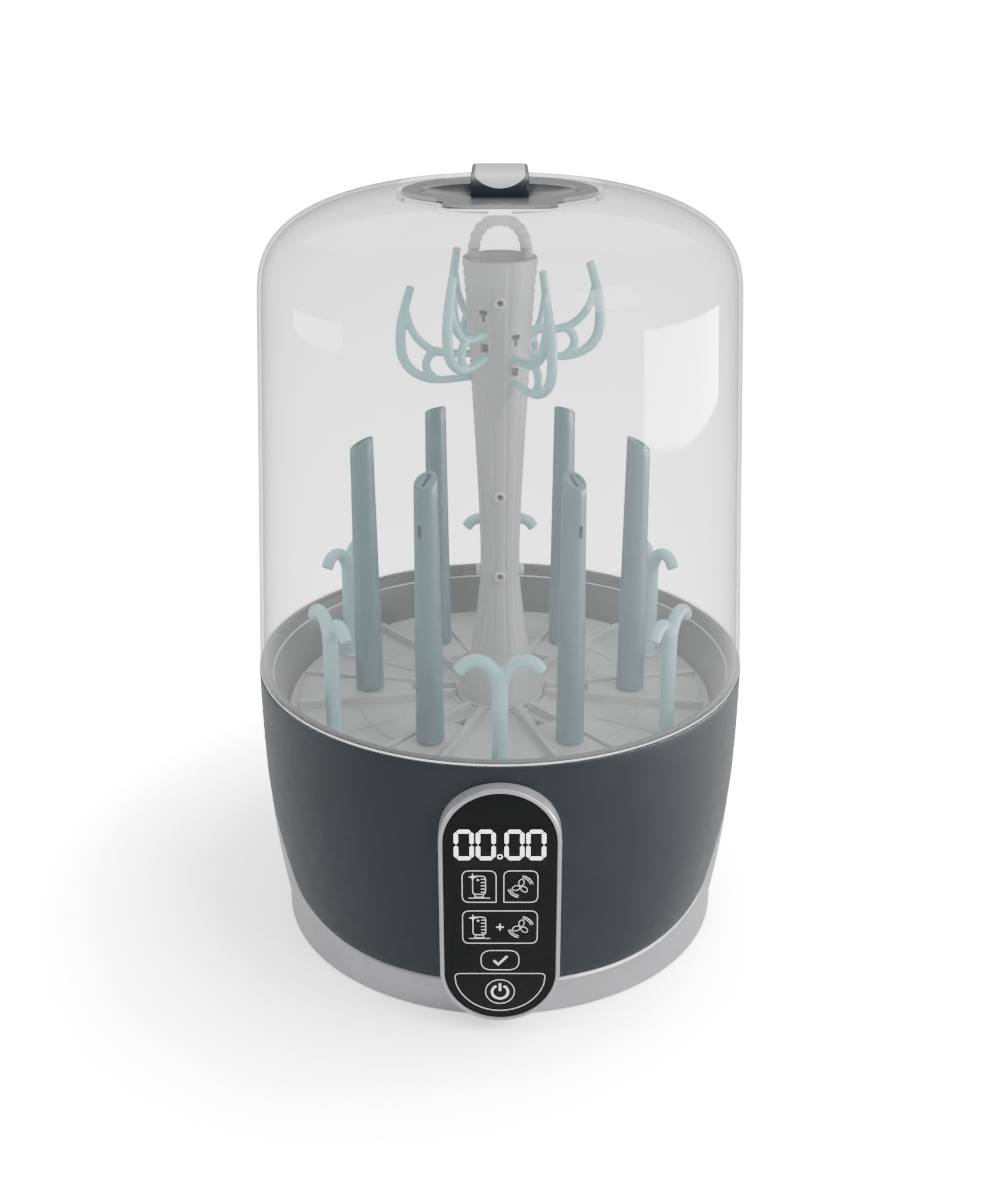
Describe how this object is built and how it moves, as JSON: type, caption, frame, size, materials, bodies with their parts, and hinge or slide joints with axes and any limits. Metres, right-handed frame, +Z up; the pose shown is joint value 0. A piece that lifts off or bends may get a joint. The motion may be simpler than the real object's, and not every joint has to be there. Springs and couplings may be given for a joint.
{
  "type": "bottle sterilizer",
  "caption": "Countertop steam sterilizer and dryer for baby bottles: clear domed lid with a bridge handle, lift-out rack with column, tubes and hooks, round base with a touch panel.",
  "frame": {"origin": "on the base's axis, at the worktop", "axes": "+Z up, -Y out of the control panel, +X to the right of a person who faces the panel"},
  "size_m": [0.269, 0.28, 0.4197],
  "materials": {
    "slate_shell": "satin moulded",
    "silver_trim": "satin silver paint",
    "clear_lid": "clear polymer",
    "pale_rack": "fine moulded",
    "mint_plastic": "fine moulded",
    "teal_plastic": "fine moulded",
    "cap_grey": "fine moulded",
    "handle_slate": "satin moulded",
    "inlay_grey": "satin moulded",
    "panel_black": "high gloss",
    "gasket": "matt silicone",
    "foot_rubber": "matt",
    "steel": "brushed",
    "inner_plastic": "plain moulded",
    "circuit_board": "solder mask",
    "ceramic": "matt",
    "filter_paper": "pleated fibre"
  },
  "bodies": {
    "base": {"base_shell": "slate_shell", "plinth": "silver_trim", "water_bowl": "slate_shell", "rim_gasket": "gasket", "bottom_cover": "inner_plastic", "foot_1": "foot_rubber", "foot_2": "foot_rubber", "foot_3": "foot_rubber", "foot_4": "foot_rubber", "cover_screw_1": "steel", "cover_screw_2": "steel", "cover_screw_3": "steel", "cover_screw_4": "steel", "panel_bezel": "silver_trim", "touch_panel": "panel_black", "display_window": "panel_black", "control_board": "circuit_board", "heating_plate": "steel", "heater_element": "steel", "thermostat": "ceramic", "fan_housing": "inner_plastic", "fan_motor": "steel", "air_heater": "ceramic", "air_duct": "inner_plastic", "intake_duct": "inner_plastic", "power_inlet": "foot_rubber", "power_board": "circuit_board"},
    "fan": {"fan_impeller": "inner_plastic"},
    "filter": {"filter_cover": "slate_shell", "air_filter": "filter_paper"},
    "tray": {"rack_tray": "pale_rack", "drying_tube_1": "teal_plastic", "drying_tube_2": "teal_plastic", "drying_tube_3": "teal_plastic", "drying_tube_4": "teal_plastic", "drying_tube_5": "teal_plastic", "drying_tube_6": "teal_plastic", "bottle_hook_1": "mint_plastic", "bottle_hook_2": "mint_plastic", "bottle_hook_3": "mint_plastic", "bottle_hook_4": "mint_plastic", "bottle_hook_5": "mint_plastic", "bottle_hook_6": "mint_plastic"},
    "column": {"rack_column": "pale_rack", "rack_loop_handle": "pale_rack", "rack_arm_1": "mint_plastic", "rack_arm_2": "mint_plastic", "rack_arm_3": "mint_plastic", "rack_arm_4": "mint_plastic", "rack_arm_5": "mint_plastic", "rack_arm_6": "mint_plastic"},
    "lid": {"dome": "clear_lid", "cap_dish": "cap_grey", "lid_handle": "handle_slate", "handle_inlay": "inlay_grey"}
  },
  "joints": [
    {"name": "fan_spin", "type": "hinge", "parent": "base", "child": "fan", "pos_m": [0, 0.06, 0.054], "axis": [0, 0, 1], "continuous": true},
    {"name": "filter_pull", "type": "slide", "parent": "base", "child": "filter", "axis": [0, 1, 0], "range_m": [0, 0.035]},
    {"name": "tray_lift", "type": "slide", "parent": "base", "child": "tray", "axis": [0, 0, 1], "range_m": [0, 0.05]},
    {"name": "column_lift", "type": "slide", "parent": "tray", "child": "column", "axis": [0, 0, 1], "range_m": [0, 0.16]},
    {"name": "lid_lift", "type": "slide", "parent": "column", "child": "lid", "axis": [0, 0, 1], "range_m": [0, 0.26]}
  ]
}
